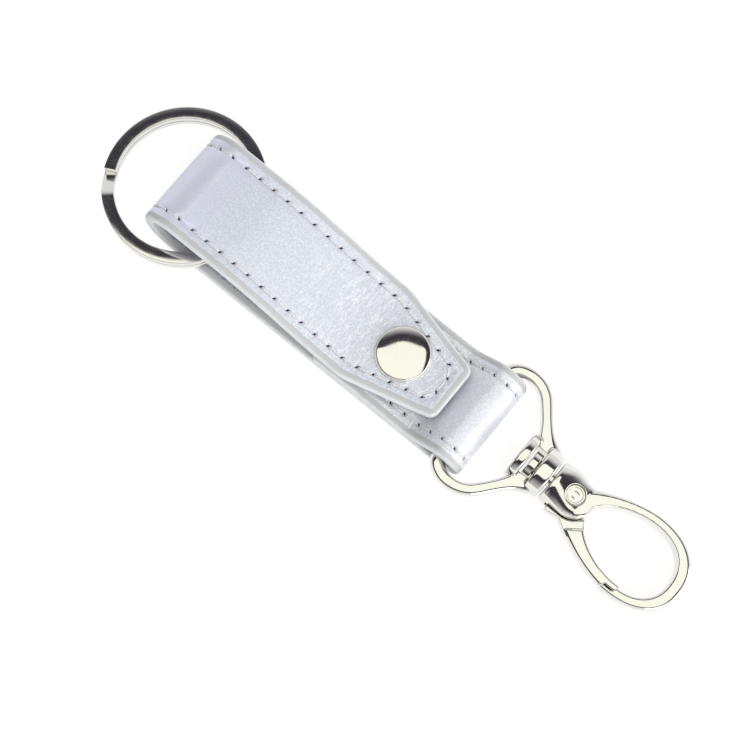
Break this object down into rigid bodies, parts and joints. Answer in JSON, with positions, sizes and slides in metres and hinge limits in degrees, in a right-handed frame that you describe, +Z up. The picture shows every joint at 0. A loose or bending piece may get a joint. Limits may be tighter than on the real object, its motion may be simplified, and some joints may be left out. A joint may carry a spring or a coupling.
{
  "type": "belt key clip",
  "caption": "Belt key clip: a folded pearl-grey leather strap with a snap flap, a split key ring through its top fold and a swivel eye with a spring-gate hook below.",
  "frame": {"origin": "centre of the part's footprint, at the level of the surface that it lies on", "axes": "+X along the strap from the split ring to the hook, +Y across the strap, +Z up through the snap cap"},
  "size_m": [0.1284, 0.03, 0.014],
  "materials": {
    "leather": "pearl",
    "lining": "satin",
    "nickel": "polished",
    "ring_steel": "polished",
    "spring_steel": "satin"
  },
  "bodies": {
    "strap": {"strap_outer": "leather", "strap_lining": "lining", "snap_stud": "nickel", "snap_rivet": "nickel"},
    "flap": {"flap_outer": "leather", "flap_lining": "lining", "snap_cap": "nickel", "snap_socket": "nickel", "snap_spring": "spring_steel"},
    "key_ring": {"split_ring": "ring_steel"},
    "swivel_eye": {"swivel_eye": "nickel"},
    "hook": {"hook_body": "nickel", "swivel_pin": "nickel", "gate_pin": "nickel", "gate_spring": "spring_steel"},
    "gate": {"gate": "nickel"}
  },
  "joints": [
    {"name": "flap_hinge", "type": "hinge", "parent": "strap", "child": "flap", "pos_m": [-0.04303, 0, 0.014], "axis": [0, -1, 0], "range_deg": [0, 90], "deforming": ["snap_spring"]},
    {"name": "ring_swing", "type": "hinge", "parent": "strap", "child": "key_ring", "pos_m": [-0.03403, 0, 0.00302], "axis": [0, 1, 0], "range_deg": [0, 100]},
    {"name": "eye_swing", "type": "hinge", "parent": "strap", "child": "swivel_eye", "pos_m": [0.01703, 0, 0.00524], "axis": [0, -1, 0], "range_deg": [-90, 90]},
    {"name": "hook_swivel", "type": "hinge", "parent": "swivel_eye", "child": "hook", "pos_m": [0.03461, 0, 0.00448], "axis": [0.9991, 0, -0.043], "continuous": true},
    {"name": "gate_hinge", "type": "hinge", "parent": "hook", "child": "gate", "pos_m": [0.03936, 0, 0.00428], "axis": [0.043, 0, 0.9991], "range_deg": [0, 22], "stiffness_Nm_per_rad": 0.004, "springref_deg": -22.92, "deforming": ["gate_spring"]}
  ]
}
